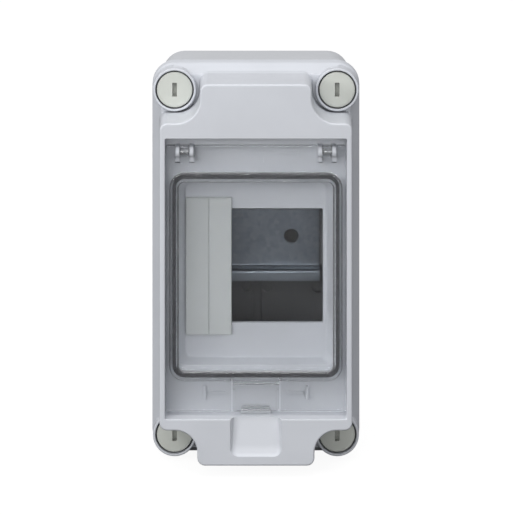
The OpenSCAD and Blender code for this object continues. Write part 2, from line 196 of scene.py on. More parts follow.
def disc_outline(r, x, z, count=64):
    """A circle as a function of how far it is grown."""
    return lambda g: arc(x, z, r + g, 0, 360 - 360 / count, count)


def panel_outline(g):
    """The raised front panel."""
    upper = (SCREW_X - 1.1, SCREW_Z, 9.7 - g)
    lower = (SCREW_X - 0.85, SCREW_Z + 0.75, 8.9 - g)
    return stepped(PANEL_W + 2 * g, PANEL_H + 2 * g, 3.0 + g, upper, lower)


def inner_panel(g):
    """The hollow behind the raised panel."""
    notch = (SCREW_X, SCREW_Z, 9.5 + PANEL_WALL - g)
    return stepped(PANEL_W - 2 * PANEL_WALL + 2 * g, PANEL_H - 2 * PANEL_WALL + 2 * g, 1.0, notch, notch)


def seal_line(g):
    """The line of the seal between base and cover."""
    notch = (SCREW_X, SCREW_Z, PILLAR_R - g)
    return stepped(CAVITY_W + 2 * g, CAVITY_H + 2 * g, 2.0, notch, notch)


def ring_line(g):
    """The bead round the door's window, and the rib behind it."""
    return rounded(RING_W + 2 * g, RING_H + 2 * g, RING_R + g, 0, RING_Z)


# ---------------------------------------------------------------- solids

def put(name, bm):
    """Turns a bmesh into an object."""
    bmesh.ops.recalc_face_normals(bm, faces=bm.faces)
    mesh = bpy.data.meshes.new(name)
    bm.to_mesh(mesh)
    bm.free()
    obj = bpy.data.objects.new(name, mesh)
    bpy.context.scene.collection.objects.link(obj)
    return obj


def loft(name, rings):
    """A closed solid through rings of (outline, depth)."""
    bm = bmesh.new()
    loops = [[bm.verts.new((x, -d, z)) for x, z in points] for points, d in rings]
    for a, b in zip(loops, loops[1:]):
        for i in range(len(a)):
            k = (i + 1) % len(a)
            bm.faces.new((a[i], a[k], b[k], b[i]))
    bm.faces.new(loops[0])
    bm.faces.new(loops[-1])
    return put(name, bm)


def slab(name, outline, d0, d1, back=0.0, front=0.0, over=0.0):
    """A solid between two depths; its edges are rounded, or flared where the radius is negative.

    A solid with over runs on straight past d1 by that much.
    """
    rings = []
    if back:
        for a in ARC_STEPS:
            rings.append((outline(back * (math.sin(a) - 1)), d0 + abs(back) * (1 - math.cos(a))))
    else:
        rings.append((outline(0), d0))
    if front:
        for a in ARC_STEPS:
            rings.append((outline(-front * (1 - math.cos(a))), d1 - abs(front) * (1 - math.sin(a))))
    else:
        rings.append((outline(0), d1))
    if over:
        rings.append((outline(-front), d1 + over))
    return loft(name, rings)


def turned(name, x, z, profile, count=64):
    """A solid turned about the depth axis; its profile of (radius, depth) starts and ends at radius 0."""
    bm = bmesh.new()
    loops = []
    for r, d in profile:
        if r == 0:
            loops.append([bm.verts.new((x, -d, z))])
        else:
            loops.append([bm.verts.new((px, -d, pz)) for px, pz in disc_outline(r, x, z, count)(0)])
    for a, b in zip(loops, loops[1:]):
        for i in range(count):
            k = (i + 1) % count
            if len(a) == 1:
                bm.faces.new((a[0], b[k], b[i]))
            elif len(b) == 1:
                bm.faces.new((a[i], a[k], b[0]))
            else:
                bm.faces.new((a[i], a[k], b[k], b[i]))
    return put(name, bm)


def bar(name, x, d, z, soft=0.15):
    """A block given by its (low, high) ranges, with softened edges."""
    bm = bmesh.new()
    bmesh.ops.create_cube(bm, size=1.0)
    size = (x[1] - x[0], d[1] - d[0], z[1] - z[0])
    middle = Vector(((x[0] + x[1]) / 2, -(d[0] + d[1]) / 2, (z[0] + z[1]) / 2))
    bmesh.ops.scale(bm, vec=size, verts=bm.verts)
    bmesh.ops.translate(bm, vec=middle, verts=bm.verts)
    if soft:
        edges = list(bm.edges)
        bmesh.ops.bevel(bm, geom=edges, offset=soft, segments=2, profile=0.5, affect="EDGES")
    return put(name, bm)


def rod(name, x0, x1, d, z, r):
    """A round bar across the box, with softened ends."""
    soft = 0.15
    profile = [(0, x0), (r - soft, x0), (r, x0 + soft), (r, x1 - soft), (r - soft, x1), (0, x1)]
    obj = turned(name, 0, 0, profile, 32)
    obj.data.transform(Matrix.Translation((0, -d, z)) @ Matrix.Rotation(math.pi / 2, 4, "Z"))
    return obj


def join(name, parts):
    """One object from several that do not overlap."""
    bm = bmesh.new()
    for part in parts:
        bm.from_mesh(part.data)
        bpy.data.objects.remove(part)
    return put(name, bm)


def combine(target, tool, operation):
    """Adds a tool to a solid, or cuts it away, and drops the tool."""
    step = target.modifiers.new("step", "BOOLEAN")
    step.object = tool
    step.operation = operation
    step.solver = "EXACT"
    graph = bpy.context.evaluated_depsgraph_get()
    mesh = bpy.data.meshes.new_from_object(target.evaluated_get(graph))
    target.modifiers.clear()
    target.data = mesh
    bpy.data.objects.remove(tool)


def add(target, *tools):
    """Joins tools to a solid."""
    for tool in tools:
        combine(target, tool, "UNION")


def cut(target, *tools):
    """Cuts tools out of a solid."""
    for tool in tools:
        combine(target, tool, "DIFFERENCE")


def hoop(name, outline, g0, g1, d0, d1, front=0.0):
    """A closed band between two growths of an outline."""
    obj = slab(name, lambda g: outline(g1 + g), d0, d1, 0, front)
    cut(obj, slab("core", lambda g: outline(g0 + g), d0 - 1, d1, 0, -front, 1))
    return obj


def settle(obj, body, material, nodes):
    """Cleans a solid, brings it to metres, shades it, dresses it and lets it ride on its body."""
    bm = bmesh.new()
    bm.from_mesh(obj.data)
    bmesh.ops.remove_doubles(bm, verts=bm.verts, dist=2e-4)
    bmesh.ops.dissolve_degenerate(bm, edges=bm.edges, dist=1e-4)
    bmesh.ops.scale(bm, vec=(MM, MM, MM), verts=bm.verts)
    for edge in bm.edges:
        edge.smooth = len(edge.link_faces) == 2 and edge.calc_face_angle(0) < math.radians(32)
    for face in bm.faces:
        face.smooth = True
    bm.to_mesh(obj.data)
    bm.free()
    weight = obj.modifiers.new("weighted normals", "WEIGHTED_NORMAL")
    weight.keep_sharp = True
    obj.data.materials.clear()
    obj.data.materials.append(material)
    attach(obj, body)
    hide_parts(*nodes)


# ---------------------------------------------------------------- materials

class Shader:
    """A node tree of a material or a world, with short calls for its nodes."""

    def __init__(self, name, owner=None):
        self.owner = owner or bpy.data.materials.new(name)
        self.owner.use_nodes = True
        self.tree = self.owner.node_tree
        self.tree.nodes.clear()
        metres = self.add("ShaderNodeTexCoord").outputs["Object"]
        millimetres = {"Vector": metres, "Scale": (1 / MM, 1 / MM, 1 / MM)}
        self.place = self.add("ShaderNodeMapping", millimetres).outputs[0]

    def add(self, kind, inputs=None, **settings):
        """A node, with its inputs linked to sockets or set to values."""
        node = self.tree.nodes.new(kind)
        for key, value in settings.items():
            setattr(node, key, value)
        for key, value in (inputs or {}).items():
            if isinstance(value, bpy.types.NodeSocket):
                self.tree.links.new(value, node.inputs[key])
            else:
                node.inputs[key].default_value = value
        return node

    def noise(self, scale, detail=3.0, rough=0.5, stretch=(1, 1, 1)):
        """Noise, with its scale per millimetre."""
        place = self.add("ShaderNodeMapping", {"Vector": self.place, "Scale": stretch}).outputs[0]
        inputs = {"Vector": place, "Scale": scale, "Detail": detail, "Roughness": rough}
        return self.add("ShaderNodeTexNoise", inputs).outputs["Fac"]

    def calc(self, operation, a, b=0.0):
        """The result of a Math node."""
        return self.add("ShaderNodeMath", {0: a, 1: b}, operation=operation).outputs[0]

    def spread(self, value, low, high, from_low=0.3, from_high=0.7):
        """A value mapped from one range to another."""
        source = {"Value": value, "From Min": from_low, "From Max": from_high}
        return self.add("ShaderNodeMapRange", {**source, "To Min": low, "To Max": high}).outputs[0]

    def tint(self, factor, dark, light):
        """A colour between two fixed ones."""
        node = self.add("ShaderNodeMix", {"Factor": factor}, data_type="RGBA")
        node.inputs[6].default_value = (*dark, 1)
        node.inputs[7].default_value = (*light, 1)
        return node.outputs[2]

    def blend(self, factor, a, b):
        """A colour between two computed ones."""
        node = self.add("ShaderNodeMix", {"Factor": factor}, data_type="RGBA")
        self.tree.links.new(a, node.inputs[6])
        self.tree.links.new(b, node.inputs[7])
        return node.outputs[2]

    def bump(self, height, strength, distance, edge=0.0002):
        """A bump over edges that the Bevel node softens."""
        soft = self.add("ShaderNodeBevel", {"Radius": edge}, samples=4).outputs[0]
        inputs = {"Height": height, "Strength": strength, "Distance": distance, "Normal": soft}
        return self.add("ShaderNodeBump", inputs).outputs[0]

    def mix(self, factor, a, b):
        """A blend of two surfaces."""
        node = self.add("ShaderNodeMixShader", {"Fac": factor})
        self.tree.links.new(a, node.inputs[1])
        self.tree.links.new(b, node.inputs[2])
        return node.outputs[0]

    def seen(self):
        """1 where the camera looks straight or through clear plastic alone, and 0 for every other ray."""
        path = self.add("ShaderNodeLightPath").outputs
        bounces = self.calc("ADD", path["Diffuse Depth"], path["Glossy Depth"])
        straight = self.calc("LESS_THAN", bounces, 0.5)
        through = self.calc("MULTIPLY", path["Is Transmission Ray"], straight)
        return self.calc("MAXIMUM", path["Is Camera Ray"], through)

    def output(self, surface):
        """Ends a material's tree."""
        self.add("ShaderNodeOutputMaterial", {"Surface": surface})
        return self.owner


def scaled(colour, factor):
    """A colour made lighter or darker."""
    return tuple(min(c * factor, 1.0) for c in colour)


def moulded(name, colour, rough, shade=0.0, crevice_shade=0.80):
    """Moulded plastic: fine grain, faint clouding, paler worn edges and painted shade in its corners and
    crevices.

    A piece with shade gets painted shade: its colour darkens in its deep hollows, as if they lay in
    shadow.
    """
    s = Shader(name)
    cloud = s.noise(0.05, 4)
    base = s.tint(s.spread(cloud, 0, 1), scaled(colour, 0.965), scaled(colour, 1.02))
    pointy = s.add("ShaderNodeNewGeometry").outputs["Pointiness"]
    worn = s.tint(s.noise(0.6, 2), scaled(colour, 1.03), scaled(colour, 1.08))
    base = s.blend(s.spread(pointy, 0, 0.5, 0.53, 0.62), base, worn)
    if shade:
        # Painted shade: ambient occlusion over 90 mm darkens the colour to about 0.4 of itself in deep
        # hollows, standing in for the shade inside the box.
        deep = s.add("ShaderNodeAmbientOcclusion", {"Distance": 0.09}, samples=6).outputs["AO"]
        dark = s.tint(cloud, scaled(colour, 0.36), scaled(colour, 0.42))
        base = s.blend(s.spread(deep, shade, 0, 0.12, 0.45), base, dark)
    # Painted shade: where ambient occlusion over 2 mm finds nearby surfaces, the colour darkens to a
    # speckled dark tone, so corners, crevices and slots look shaded.
    crevice_occlusion = s.add("ShaderNodeAmbientOcclusion", {"Distance": 0.002}, samples=4).outputs["AO"]
    crevice_shade_colour = s.tint(s.noise(1.5, 2), scaled(colour, crevice_shade), scaled(colour, crevice_shade + 0.08))
    base = s.blend(s.spread(crevice_occlusion, 0.9, 0, 0.1, 0.6), base, crevice_shade_colour)
    fine = s.noise(7.0, 3, 0.6)
    surface = s.add("ShaderNodeBsdfPrincipled", {
        "Base Color": base,
        "Roughness": s.spread(s.noise(0.4, 4), rough - 0.05, rough + 0.06),
        "Specular IOR Level": 0.5,
        "IOR": 1.5,
        "Normal": s.bump(fine, 0.25, 0.00001),
    })
    return s.output(surface.outputs[0])


def clear(name, tint_colour):
    """Clear polycarbonate: haze, flow lines, scratches, an etched border and paler edges.

    Shadow rays pass through it.
    """
    s = Shader(name)
    flow = s.noise(0.12, 3, 0.5, (1, 1, 0.35))
    scratch = s.noise(0.9, 4, 0.6, (1.6, 1, 1))
    across, _, up = s.add("ShaderNodeSeparateXYZ", {"Vector": s.place}).outputs
    side = s.calc("ABSOLUTE", across)
    top = s.calc("ABSOLUTE", s.calc("ADD", up, -RING_Z))
    side = s.spread(side, 0, 1, RING_W / 2 - 1.6, RING_W / 2 - 0.6)
    top = s.spread(top, 0, 1, RING_H / 2 - 1.6, RING_H / 2 - 0.6)
    border = s.calc("MAXIMUM", side, top)
    etched = s.calc("MULTIPLY", s.noise(2.8, 2, 0.7), border)
    relief = s.calc("ADD", s.spread(flow, 0, 0.08), etched)
    surface = s.add("ShaderNodeBsdfPrincipled", {
        "Base Color": s.tint(s.spread(flow, 0, 1), scaled(tint_colour, 0.985), tint_colour),
        "Transmission Weight": 1.0,
        "IOR": 1.58,
        "Roughness": s.spread(scratch, 0.02, 0.06),
        "Normal": s.bump(relief, 0.55, 0.00006, 0.00015),
    })
    frost = s.add("ShaderNodeBsdfPrincipled", {
        "Base Color": s.tint(scratch, (0.62, 0.64, 0.67), (0.68, 0.70, 0.73)),
        "Roughness": 0.35,
    })
    normal = s.add("ShaderNodeTexCoord").outputs["Normal"]
    forward = s.add("ShaderNodeSeparateXYZ", {"Vector": normal}).outputs[1]
    edge = s.spread(s.calc("ABSOLUTE", forward), 0.22, 0.0, 0.35, 0.97)
    solid = s.mix(edge, surface.outputs[0], frost.outputs[0])
    through = s.add("ShaderNodeBsdfTransparent", {"Color": (*scaled(tint_colour, 0.68), 1)})
    shadow = s.add("ShaderNodeLightPath").outputs["Is Shadow Ray"]
    return s.output(s.mix(shadow, solid, through.outputs[0]))


def metal(name, dark, light, rough, spangle=0.25, streak=(1, 1, 1), bump=0.15, peel=0.0):
    """Plated or drawn metal: spangle, streaks, rough patches and paler edges; peel dimples the plating."""
    s = Shader(name)
    cells = s.add("ShaderNodeTexVoronoi", {"Vector": s.place, "Scale": spangle}).outputs["Color"]
    grey = s.add("ShaderNodeRGBToBW", {"Color": cells}).outputs[0]
    lines = s.noise(1.2, 5, 0.6, streak)
    base = s.tint(s.spread(s.calc("ADD", grey, lines), 0, 1, 0.6, 1.4), dark, light)
    pointy = s.add("ShaderNodeNewGeometry").outputs["Pointiness"]
    edge = s.tint(lines, light, scaled(light, 1.25))
    base = s.blend(s.spread(pointy, 0, 0.8, 0.53, 0.62), base, edge)
    normal = s.bump(lines, bump, 0.00003)
    if peel:
        dimples = s.noise(1.0, 1, 0.5, (1, 1, 0.6))
        inputs = {"Height": dimples, "Strength": peel, "Distance": 0.00006, "Normal": normal}
        normal = s.add("ShaderNodeBump", inputs).outputs[0]
    surface = s.add("ShaderNodeBsdfPrincipled", {
        "Base Color": base,
        "Metallic": 1.0,
        "Roughness": s.spread(s.noise(0.5, 4), rough - 0.07, rough + 0.1),
        "Normal": normal,
    })
    return s.output(surface.outputs[0])


def soft(name, dark, light, pore=2.5, strength=0.5):
    """Foam or rubber: pores, speckle and no shine."""
    s = Shader(name)
    pores = s.add("ShaderNodeTexVoronoi", {"Vector": s.place, "Scale": pore}).outputs["Distance"]
    speckle = s.noise(3.0, 4, 0.6)
    mixed = s.calc("MULTIPLY", pores, speckle)
    surface = s.add("ShaderNodeBsdfPrincipled", {
        "Base Color": s.tint(s.spread(mixed, 0, 1, 0.05, 0.4), dark, light),
        "Roughness": s.spread(speckle, 0.7, 0.95),
        "Normal": s.bump(pores, strength, 0.00005),
    })
    return s.output(surface.outputs[0])


def studio_white(name, glow):
    """The pale stage: matt paper that looks white to the camera and throws little light back."""
    s = Shader(name)
    paper = s.noise(0.02, 2)
    surface = s.add("ShaderNodeBsdfPrincipled", {
        "Base Color": s.tint(paper, (0.09, 0.09, 0.09), (0.10, 0.10, 0.10)),
        "Roughness": 0.9,
        "Emission Color": (1, 1, 1, 1),
        "Emission Strength": s.spread(s.seen(), 0, glow, 0, 1),
    })
    return s.output(surface.outputs[0])


def palette():
    """Every finish, by the name of its material."""
    zinc_dark = (0.27, 0.30, 0.345)
    zinc_light = (0.33, 0.365, 0.415)
    return {
        # Where given, the last argument sets how dark the painted shade in crevices is; the screws' slots
        # and the base's channels get the darkest.
        "grey_plastic": moulded("grey_plastic", (0.60, 0.62, 0.66), 0.38, crevice_shade=0.4),
        # The base's plastic has painted shade in its deep hollows.
        "base_plastic": moulded("base_plastic", (0.57, 0.585, 0.61), 0.42, shade=1.0, crevice_shade=0.1),
        "blank_plastic": moulded("blank_plastic", (0.585, 0.61, 0.61), 0.5),
        "screw_plastic": moulded("screw_plastic", (0.58, 0.60, 0.555), 0.33, crevice_shade=0.08),
        "washer_plastic": moulded("washer_plastic", (0.72, 0.72, 0.70), 0.5),
        "carrier_plastic": moulded("carrier_plastic", (0.07, 0.16, 0.09), 0.5),
        "clear_plastic": clear("clear_plastic", (0.88, 0.885, 0.89)),
        "seal_rubber": soft("seal_rubber", (0.02, 0.021, 0.024), (0.10, 0.10, 0.11)),
        "seal_foam": soft("seal_foam", (0.05, 0.052, 0.056), (0.30, 0.31, 0.32), 1.6, 0.8),
        "zinc_steel": metal("zinc_steel", zinc_dark, zinc_light, 0.38, 0.5, bump=0.04, peel=0.25),
        "screw_steel": metal("screw_steel", (0.48, 0.49, 0.50), (0.70, 0.71, 0.72), 0.32, 0.9),
        "brass": metal("brass", (0.58, 0.42, 0.16), (0.78, 0.62, 0.28), 0.3, 0.4, (0.3, 2, 2)),
    }


# ---------------------------------------------------------------- base

def base_cavity():
    """The hollow of the base: a rounded floor edge, and straight up to the open front."""
    return slab("cavity", seal_line, WALL, BASE_D + 3, 0.5)


def base_shell():
    """The drafted tray with rounded edges, and the tongue that presses into the seal."""
    edge = 0.9
    rings = []
    for t in ARC_STEPS:
        g = edge * (math.sin(t) - 1)
        outline = rounded(BACK_W + 2 * g, BACK_H + 2 * g, CORNER_R + g)
        rings.append((outline, edge * (1 - math.cos(t))))
    rings.append((rounded(RIM_W, RIM_H, CORNER_R), BASE_D - 0.3))
    rings.append((rounded(RIM_W - 0.4, RIM_H - 0.4, CORNER_R - 0.2), BASE_D))
    shell = loft("base_shell", rings)
    cut(shell, base_cavity())
    add(shell, hoop("tongue", seal_line, 0.6, 1.8, BASE_D - 1, BASE_D + 1.9, 0.3))
    return shell


def wall_pad(x, z):
    """A low pad on the back wall, with a round recess near each corner."""
    pad = slab("pad", frame_outline(27, 22, 0.8, x, z), WALL - 0.5, PAD_TOP, 0, 0.3)
    for i, k in CORNERS:
        dimple = disc_outline(2.3, x + i * 10.8, z + k * 8.1, 32)
        cut(pad, slab("dimple", dimple, WALL - 1, PAD_TOP, 0, -0.2, 1))
    return pad


def rail_block(side):
    """A block under one end of the rail, with its end stop."""
    height = (-11.5, 11.5)
    seat = sorted((side * 20, side * 29.5))
    stop = sorted((side * 27.1, side * 29.5))
    block = bar("rail_block", seat, (WALL - 0.5, RAIL_SEAT), height, 0.3)
    add(block, bar("stop", stop, (WALL - 0.4, RAIL_SEAT + 4.1), height, 0.3))
    return block


def knockout(side):
    """Cutter for the round grooves of a cable entry in the lower wall."""
    rings = []
    for r in (10.2, 8.1):
        disc = slab("ring", disc_outline(r, 0, 0), 0, 4)
        cut(disc, slab("core", disc_outline(r - 0.5, 0, 0), -1, 5))
        rings.append(disc)
    tool = join("knockout", rings)
    turn = Matrix.Rotation(-math.pi / 2, 4, "X")
    place = Matrix.Translation((side * KNOCKOUT_X, -KNOCKOUT_D, -BACK_H / 2 - 4))
    tool.data.transform(place @ turn)
    return tool


def base_bosses():
    """The bosses round the wall holes, and the two posts under the terminal carrier."""
    bosses = [disc_outline(5.2, i * FIXING_X, k * FIXING_Z, 40) for i, k in CORNERS]
    bosses = [slab("boss", line, WALL - 0.5, PAD_TOP, 0, 0.3) for line in bosses]
    posts = [disc_outline(3.4, side * CARRIER_X, CARRIER_Z, 32) for side in SIDES]
    return bosses + [slab("post", line, WALL - 0.5, WALL + 2, 0, 0.2) for line in posts]


def base_holes():
    """Cutter for the wall holes, the pillars' bores and the pilot holes of the screws."""
    holes = [disc_outline(2.5, i * FIXING_X, k * FIXING_Z, 40) for i, k in CORNERS]
    holes = [slab("hole", line, -1, PAD_TOP, 0, -0.3, 1) for line in holes]
    bores = [disc_outline(4.6, i * SCREW_X, k * SCREW_Z, 48) for i, k in CORNERS]
    bores = [slab("bore", line, BORE_D, BASE_D, 0, -0.4, 4) for line in bores]
    pilots = [disc_outline(1.3, side * CARRIER_X, CARRIER_Z, 24) for side in SIDES]
    pilots = [slab("pilot", line, 1, 6) for line in pilots]
    pilots.append(slab("pilot", disc_outline(2.4, -RAIL_HOLE_X, 0, 32), 5.9, 17))
    return join("holes", holes + bores + pilots)


def base_look(finish):
    """The base with everything moulded on it."""
    base = base_shell()
    add(base, join("pads", [wall_pad(PAD_SHIFT + i * PAD_X, k * PAD_Z) for i, k in CORNERS]))
    add(base, join("blocks", [rail_block(side) for side in SIDES]))
    add(base, slab("rail_boss", disc_outline(5.6, -RAIL_HOLE_X, 0), WALL - 0.5, RAIL_SEAT, 0, 0.3))
    add(base, *base_bosses())
    cut(base, base_holes())
    cut(base, join("entries", [knockout(side) for side in SIDES]))
    settle(base, "enclosure", finish["base_plastic"], ["base_box"])


# ---------------------------------------------------------------- cover

def cover_skirt():
    """The rear part of the cover: a straight band, then a sloped shoulder up to the panel.

    A ring is its inset at the sides, its inset above and below, and its depth.
    """
    low = SHOULDER - 6.5
    rings = [(0.25, 0.25, JOINT), (0.07, 0.07, JOINT + 0.09), (0, 0, JOINT + 0.3)]
    rings += [(0.08, 0.42, low - 0.8), (0.13, 0.5, low - 0.2)]
    rings += [(0.3, 0.66, low + 0.3), (0.62, 0.95, low + 0.9)]
    rings += [(4.0, 4.0, SHOULDER), (4.6, 4.6, SHOULDER + 0.15)]
    outlines = [(rounded(COVER_W - 2 * u, COVER_H - 2 * v, CORNER_R - v), d) for u, v, d in rings]
    return loft("cover_skirt", outlines)


def cover_panel():
    """The raised panel, with a fillet at its root and a rounded front edge."""
    edge = 0.8
    fillet = [(1.3, SHOULDER - 3.0), (1.1, SHOULDER - 0.2), (0.75, SHOULDER + 0.4), (0.5, SHOULDER + 1.4)]
    rings = [(panel_outline(g), d) for g, d in fillet]
    for a in np.linspace(0, math.pi / 2, 6):
        rings.append((panel_outline(-edge * (1 - math.cos(a))), FRONT - edge * (1 - math.sin(a))))
    return loft("cover_panel", rings)


def screw_boss(i, k):
    """The collar round a screw head."""
    return slab("boss", disc_outline(8.8, i * SCREW_X, k * SCREW_Z), BOSS_ROOT, BOSS_D, 0, 0.5)


def screw_well(i, k):
    """Cutter for a screw head's well, its shank hole and the washer's pocket."""
    pocket = [(0, JOINT - 1), (4.8, JOINT - 1), (4.8, JOINT + 3.2)]
    shank = [(4.2, JOINT + 3.2), (4.2, SHOULDER - 0.3)]
    well = [(7.5, SHOULDER - 0.3), (7.8, SHOULDER), (7.8, BOSS_D - 0.4), (7.88, BOSS_D - 0.12)]
    mouth = [(8.1, BOSS_D + 0.01), (8.1, BOSS_D + 3), (0, BOSS_D + 3)]
    return turned("well", i * SCREW_X, k * SCREW_Z, pocket + shank + well + mouth)


def tub_ring(g, t, d):
    """The tub's outline grown by g, at a depth; t runs from 0 at its floor to 1 at the ledge."""
    w = TUB_W + 2 * g + TUB_DRAFT_W * t
    h = TUB_TOP - TUB_BOTTOM + 2 * g + TUB_DRAFT_H * t
    return rounded(w, h, 3.0 + g, 0, (TUB_TOP + TUB_BOTTOM) / 2), d


def tub_wall():
    """The tub's outside, behind the ledge."""
    return loft("tub_wall", [tub_ring(PLATE, 0, FLOOR - PLATE), tub_ring(PLATE, 1, LEDGE - PLATE)])


def tub_hollow():
    """Cutter for the tub's inside, with a rounded floor edge and a rounded mouth."""
    mouth = 0.5
    deep = LEDGE - FLOOR
    rings = []
    for g, d in ((-TUB_FLOOR_R, 0.0), (-0.3 * TUB_FLOOR_R, 0.3 * TUB_FLOOR_R), (0.0, TUB_FLOOR_R)):
        rings.append(tub_ring(g, d / deep, FLOOR + d))
    for a in ARC_STEPS:
        d = LEDGE - mouth * (1 - math.sin(a)) + 0.01
        rings.append(tub_ring(mouth * (1 - math.cos(a)), (d - FLOOR) / deep, d))
    rings.append(tub_ring(mouth, 1, LEDGE + 6))
    return loft("tub_hollow", rings)


def scoop():
    """Cutter for the finger scoop: a slope that runs out below the door, with a rounded edge."""
    top = RECESS_BOTTOM + 2
    rings = []
    for t in np.linspace(0, 1, 9):
        height = top - (RECESS_BOTTOM - 0.6 - (RECESS_BOTTOM - SCOOP_BOTTOM - 3.0) * t)
        corner = min(3.0, height / 2 - 0.1)
        outline = rounded(SCOOP_W - 2.4 * (1 - t), height, corner, 0, top - height / 2)
        rings.append((outline, FRONT - 3.4 + 1.8 * t))
    for g, d in ((-1.1, -1.1), (-0.5, -0.8), (-0.1, -0.4), (0.4, 0.01), (0.4, 2)):
        height = top - SCOOP_BOTTOM + g
        outline = rounded(SCOOP_W + 0.6 + g, height, 3.0 + g, 0, top - height / 2)
        rings.append((outline, FRONT + d))
    return loft("scoop", rings)


def hinge_lug(side, k):
    """One lug of a hinge, standing on the ledge."""
    x = side * HINGE_X + k * LUG_X
    lug = rod("lug", x - LUG_HALF, x + LUG_HALF, HINGE_D, HINGE_Z, LUG_R)
    width = (x - LUG_HALF, x + LUG_HALF)
    foot = bar("foot", width, (LEDGE - 0.5, HINGE_D), (HINGE_Z - LUG_R, HINGE_Z + LUG_R), 0.1)
    narrow = (x - LUG_HALF + 0.01, x + LUG_HALF - 0.01)
    toe = bar("toe", narrow, (LEDGE - 0.5, HINGE_D - 0.4), (HINGE_Z - 4, HINGE_Z), 0.1)
    add(lug, foot, toe)
    return lug


def cover_hollow(cover):
    """Hollows out everything behind the panel."""
    cut(cover, slab("rear", lambda g: seal_line(g - 1), JOINT - 1, SHOULDER - WALL, 0, 0.5))
    cut(cover, slab("deep", inner_panel, JOINT - 1, LEDGE - PLATE))
    pockets = [frame_outline(42.4, 17.7, 1.0, 0, 64.85)]
    pockets += [frame_outline(9.4, 14.5, 1.0, side * 16.5, -66.45) for side in SIDES]
    cut(cover, *[slab("pocket", line, JOINT - 1, FRONT - 2.4, 0, 0.4) for line in pockets])


def recess():
    """Cutter for the recess that the door lies in."""
    middle = (RECESS_TOP + RECESS_BOTTOM) / 2
    outline = frame_outline(RECESS_W, RECESS_TOP - RECESS_BOTTOM, 0.6, 0, middle)
    return slab("recess", outline, LEDGE, FRONT, 0.3, -0.35, 2)


def ledge_ribs():
    """At each side of the latch, two ribs on the ledge that stand like a T on its side."""
    stems = []
    bars = []
    for side in SIDES:
        x = side * 15.5
        stems.append(bar("stem", (x - 3.5, x + 3.5), (LEDGE - 0.5, LEDGE + 1), (-49.8, -48.8)))
        x = side * 20.5
        bars.append(bar("bar", (x - 0.6, x + 0.6), (LEDGE - 0.5, LEDGE + 1.2), (-52, -46.6)))
    return join("ribs", bars + stems)


def latch_catch():
    """The lip at the ledge's lower edge that holds the latch's hook."""
    height = (RECESS_BOTTOM - 0.5, RECESS_BOTTOM + 0.9)
    return bar("catch", (-6, 6), (LEDGE - 0.5, DOOR_BACK - 0.5), height, 0.2)


def cover_look(finish):
    """The cover with its panel, recess, tub, cut-out, ribs, lugs and wells."""
    cover = cover_skirt()
    add(cover, cover_panel())
    add(cover, join("bosses", [screw_boss(i, k) for i, k in CORNERS]))
    cover_hollow(cover)
    add(cover, tub_wall())
    cut(cover, recess(), tub_hollow(), scoop())
    opening = frame_outline(CUTOUT_W, CUTOUT_H, 0.5)
    cut(cover, slab("cutout", opening, FLOOR - 4, FLOOR, 0, -0.25, 2))
    add(cover, hoop("rib", ring_line, -0.6, 0.6, LEDGE - 0.5, DOOR_BACK - 0.2, 0.2))
    add(cover, join("lugs", [hinge_lug(i, k) for i, k in CORNERS]))
    add(cover, latch_catch(), ledge_ribs())
    cut(cover, join("wells", [screw_well(i, k) for i, k in CORNERS]))
    cut(cover, hoop("groove", seal_line, 0.3, 2.1, JOINT - 1, JOINT + 3.8))
    centres = [side * HINGE_X for side in SIDES]
    pins = [rod("pin_hole", x - 4.9, x + 4.9, HINGE_D, HINGE_Z, 0.9) for x in centres]
    cut(cover, join("pin_holes", pins))
    settle(cover, "front_cover", finish["grey_plastic"], ["cover"])


# ---------------------------------------------------------------- door and latch

def door_plate():
    """The flat plate of the door."""
    middle = (DOOR_TOP + DOOR_BOTTOM) / 2
    outline = frame_outline(DOOR_W, DOOR_TOP - DOOR_BOTTOM, 0.6, 0, middle)
    return slab("door_plate", outline, DOOR_BACK, DOOR_FRONT, 0.25, 0.4)


def hinge_knuckle(door, side):
    """Adds a knuckle to the door, notches the plate for the cover's lugs and bores the pin's hole."""
    x = side * HINGE_X
    add(door, rod("knuckle", x - KNUCKLE_HALF, x + KNUCKLE_HALF, HINGE_D, HINGE_Z, 2.0))
    for k in SIDES:
        span = sorted((x + k * KNUCKLE_HALF, x + k * (KNUCKLE_HALF + 2.1)))
        cut(door, bar("notch", span, (DOOR_BACK - 2, BEAD_D + 1), (43.5, DOOR_TOP + 4), 0))
    cut(door, rod("pin_hole", x - 3.6, x + 3.6, HINGE_D, HINGE_Z, 0.95))


def latch_opening(door):
    """Cuts the opening for the latch tongue, with a round-ended slot at each side of its root."""
    depth = (DOOR_BACK - 1, BEAD_D + 1)
    opening = (-LATCH_W / 2 - SLOT_W, LATCH_W / 2 + SLOT_W)
    cut(door, bar("opening", opening, depth, (DOOR_BOTTOM - 1, LATCH_TOP), 0))
    for side in SIDES:
        x = side * (LATCH_W + SLOT_W) / 2
        cut(door, bar("slot", (x - SLOT_W / 2, x + SLOT_W / 2), depth, (LATCH_TOP - 1, SLOT_END), 0))
        cut(door, slab("slot_end", disc_outline(0.6, x, SLOT_END, 24), depth[0], depth[1]))


def door_look(finish):
    """The clear door: a plate, the hollow bead that holds its seal, two knuckles and the latch opening."""
    door = door_plate()
    add(door, hoop("bead", ring_line, -BEAD_HALF, BEAD_HALF, DOOR_BACK + 0.5, BEAD_D, 0.8))
    cut(door, hoop("channel", ring_line, -0.85, 0.85, DOOR_BACK - 1, DOOR_BACK + 1.3))
    for side in SIDES:
        hinge_knuckle(door, side)
    latch_opening(door)
    settle(door, "clear_door", finish["clear_plastic"], ["door"])


